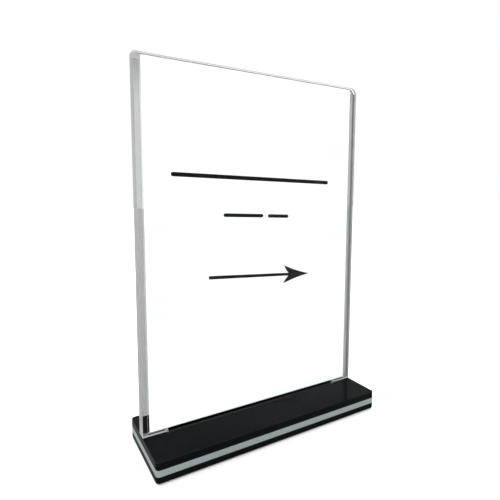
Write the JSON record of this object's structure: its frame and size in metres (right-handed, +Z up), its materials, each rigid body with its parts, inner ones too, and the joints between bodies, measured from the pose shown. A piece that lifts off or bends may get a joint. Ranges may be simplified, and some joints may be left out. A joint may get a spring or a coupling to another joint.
{
  "type": "table sign stand",
  "caption": "Upright table sign stand: a clear two-pane pocket for a printed sheet, plugged by a tongue into a slotted three-layer base on rubber feet.",
  "frame": {"origin": "centre of the base's footprint, on the surface that the rubber feet stand on", "axes": "+Z up, -Y towards the reader, +X to the reader's right"},
  "size_m": [0.223, 0.072, 0.3181],
  "materials": {
    "black_acrylic": "polished black cast acrylic",
    "frosted_acrylic": "satin frosted silver-grey acrylic",
    "clear_acrylic": "clear cast acrylic with polished edges",
    "sheet_paper": "smooth white printing paper",
    "screw_steel": "plain stainless",
    "foot_rubber": "matt black rubber"
  },
  "bodies": {
    "base": {"base_top_plate": "black_acrylic", "base_middle_plate": "frosted_acrylic", "base_bottom_plate": "black_acrylic", "base_screws": "screw_steel", "rubber_foot_front_left": "foot_rubber", "rubber_foot_front_right": "foot_rubber", "rubber_foot_rear_left": "foot_rubber", "rubber_foot_rear_right": "foot_rubber"},
    "pocket": {"front_pane": "clear_acrylic", "rear_pane": "clear_acrylic", "left_side_strip": "clear_acrylic", "right_side_strip": "clear_acrylic", "foot_strip": "clear_acrylic"},
    "insert": {"insert_sheet": "sheet_paper"}
  },
  "joints": [
    {"name": "pocket_lift", "type": "slide", "parent": "base", "child": "pocket", "axis": [0, 0, 1], "range_m": [0, 0.02]},
    {"name": "insert_slide", "type": "slide", "parent": "pocket", "child": "insert", "axis": [0, 0, 1], "range_m": [0, 0.285]}
  ]
}
